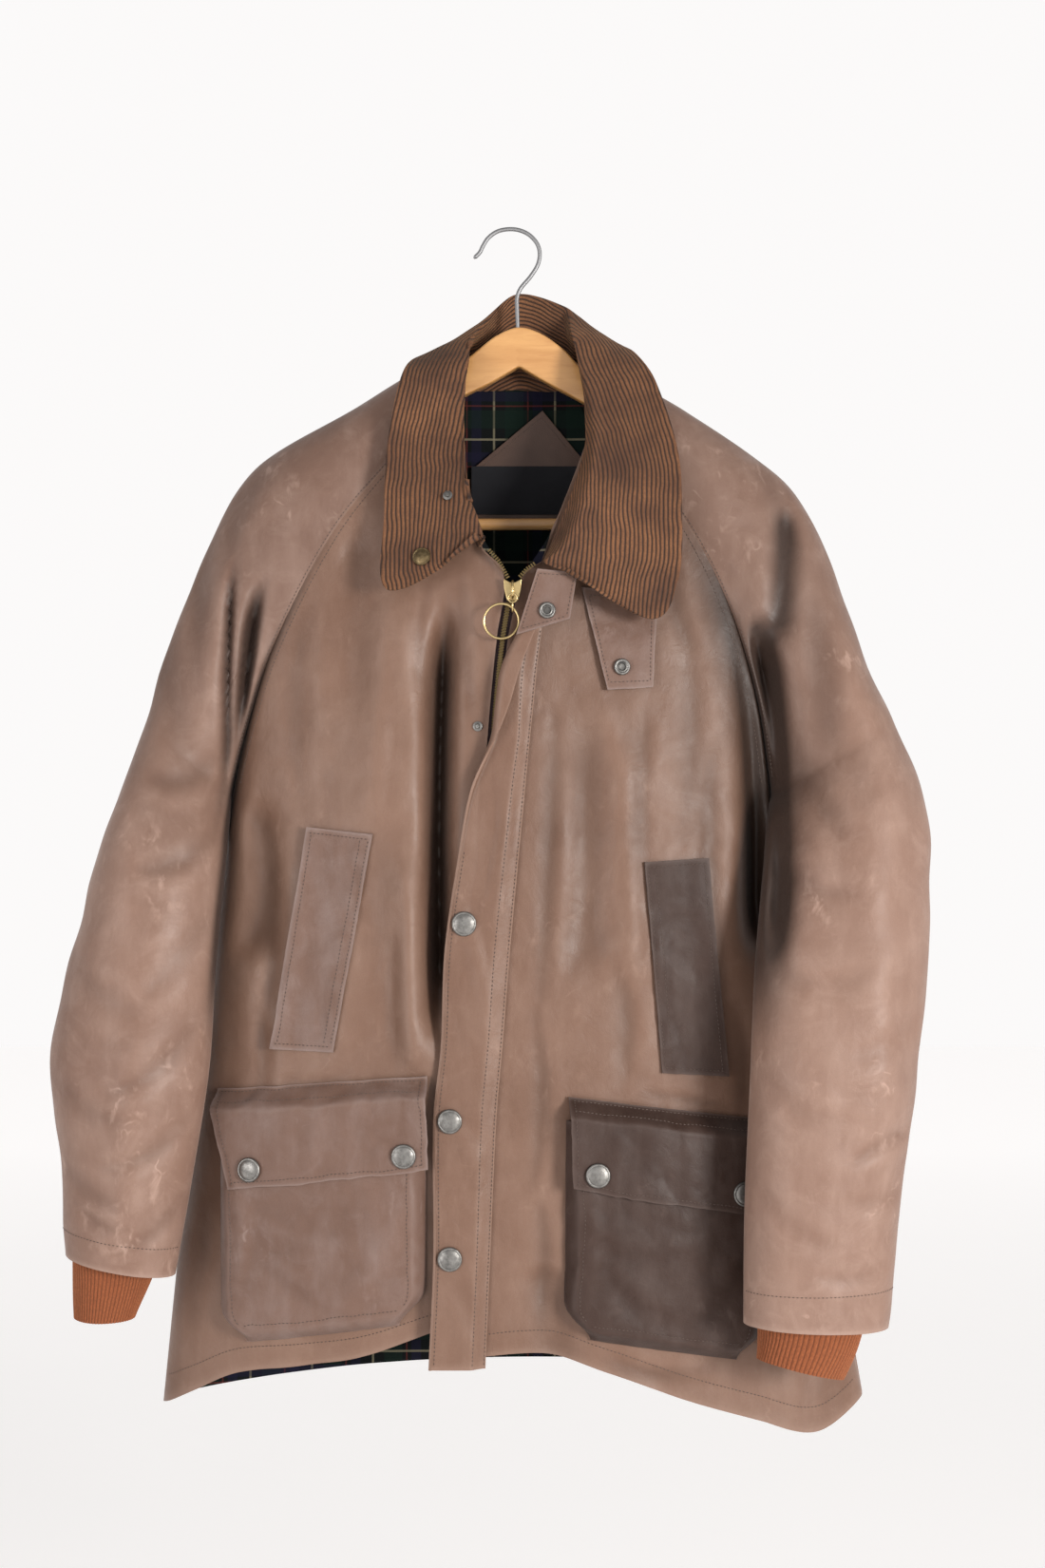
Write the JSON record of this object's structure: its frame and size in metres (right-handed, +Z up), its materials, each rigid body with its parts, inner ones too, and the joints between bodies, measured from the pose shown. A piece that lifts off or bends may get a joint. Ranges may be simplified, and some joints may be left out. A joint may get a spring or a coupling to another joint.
{
  "type": "waxed cotton jacket on a wooden hanger",
  "caption": "Brown waxed cotton country jacket with a corduroy collar, bellows pockets and rib cuffs, hung on a wooden hanger.",
  "frame": {"origin": "inside the crown of the hanger's hook, where the hook hangs", "axes": "+Z up, -Y towards the front of the jacket, +X to the right as seen from the front"},
  "size_m": [0.7143, 0.1919, 1.0016],
  "materials": {
    "waxed_cotton": "satin",
    "waxed_cotton_dark": "satin",
    "corduroy": "matte",
    "rib_knit": "matte",
    "lining": "matte",
    "facing": "matte",
    "label": "satin",
    "zip_tape": "matte",
    "brass": "satin",
    "antique_silver": "satin",
    "steel_wire": "satin",
    "wood": "satin"
  },
  "bodies": {
    "garment": {"hanger_wood": "wood", "hanger_bar": "wood", "hanger_hook": "steel_wire", "back": "waxed_cotton", "back_lining": "lining", "neck_facing": "facing", "neck_label": "label", "front_left": "waxed_cotton", "front_right": "waxed_cotton", "sleeve_left": "waxed_cotton", "sleeve_right": "waxed_cotton", "cuff_left": "rib_knit", "cuff_right": "rib_knit", "collar": "corduroy", "welt_left": "waxed_cotton_dark", "welt_right": "waxed_cotton_dark", "pocket_left": "waxed_cotton_dark", "pocket_right": "waxed_cotton_dark", "flap_left": "waxed_cotton_dark", "flap_right": "waxed_cotton_dark", "storm_fly": "waxed_cotton", "fly_tab": "waxed_cotton_dark", "throat_tab": "waxed_cotton_dark", "zip_tape_left": "zip_tape", "zip_tape_right": "zip_tape", "zip_chain": "brass", "zip_teeth_left": "brass", "zip_teeth_right": "brass", "zip_slider": "brass", "fly_cap_1": "antique_silver", "fly_cap_2": "antique_silver", "fly_cap_3": "antique_silver", "flap_cap_left_1": "antique_silver", "flap_cap_left_2": "antique_silver", "flap_cap_right_1": "antique_silver", "flap_cap_right_2": "antique_silver", "fly_tab_socket": "antique_silver", "throat_tab_socket": "antique_silver", "front_stud": "antique_silver", "collar_stud": "antique_silver", "collar_pin": "brass"},
    "zip_link": {"zip_link": "brass"},
    "zip_ring": {"zip_ring": "brass"}
  },
  "joints": [
    {"name": "link_hinge", "type": "hinge", "parent": "garment", "child": "zip_link", "pos_m": [0, -0.087, -0.3196], "axis": [-1, 0, 0], "range_deg": [0, 60]},
    {"name": "ring_hinge", "type": "hinge", "parent": "zip_link", "child": "zip_ring", "pos_m": [0, -0.087, -0.324], "axis": [-1, 0, 0], "range_deg": [0, 75]}
  ]
}
